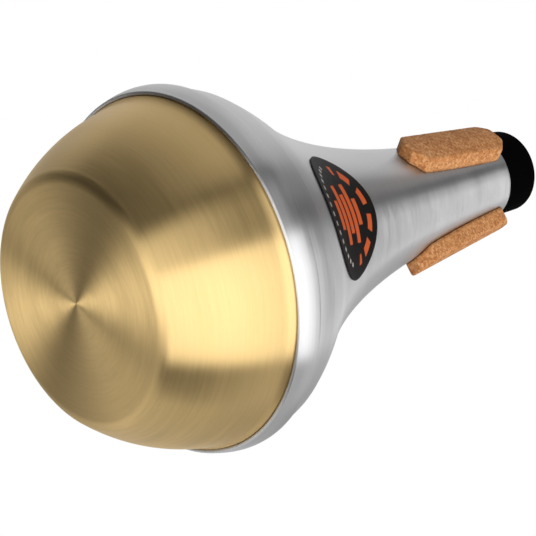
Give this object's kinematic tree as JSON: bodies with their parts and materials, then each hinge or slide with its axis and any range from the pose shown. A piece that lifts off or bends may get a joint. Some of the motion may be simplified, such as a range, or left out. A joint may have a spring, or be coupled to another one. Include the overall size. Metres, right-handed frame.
{
  "type": "instrument mute",
  "caption": "Straight mute for a trumpet: closed brass base cup, spun aluminium horn-shaped body, cork strips round the neck and a soft black end ring.",
  "frame": {"origin": "centre of the flat brass base, on the surface that the mute stands on", "axes": "+Z along the turning axis from the brass base to the open neck; the round label faces -Y"},
  "size_m": [0.1046, 0.1046, 0.1806],
  "materials": {
    "brass": "spun and brushed, satin",
    "aluminium": "spun and brushed, satin",
    "cork": "agglomerated cork, cut and lightly sanded",
    "foam": "black closed-cell foam rubber, matt",
    "label": "printed black film, semi-matt"
  },
  "bodies": {
    "root": {"base_cup": "brass", "body_shell": "aluminium", "end_bumper": "foam", "cork_strip_1": "cork", "cork_strip_2": "cork", "cork_strip_3": "cork", "label": "label"}
  },
  "joints": []
}
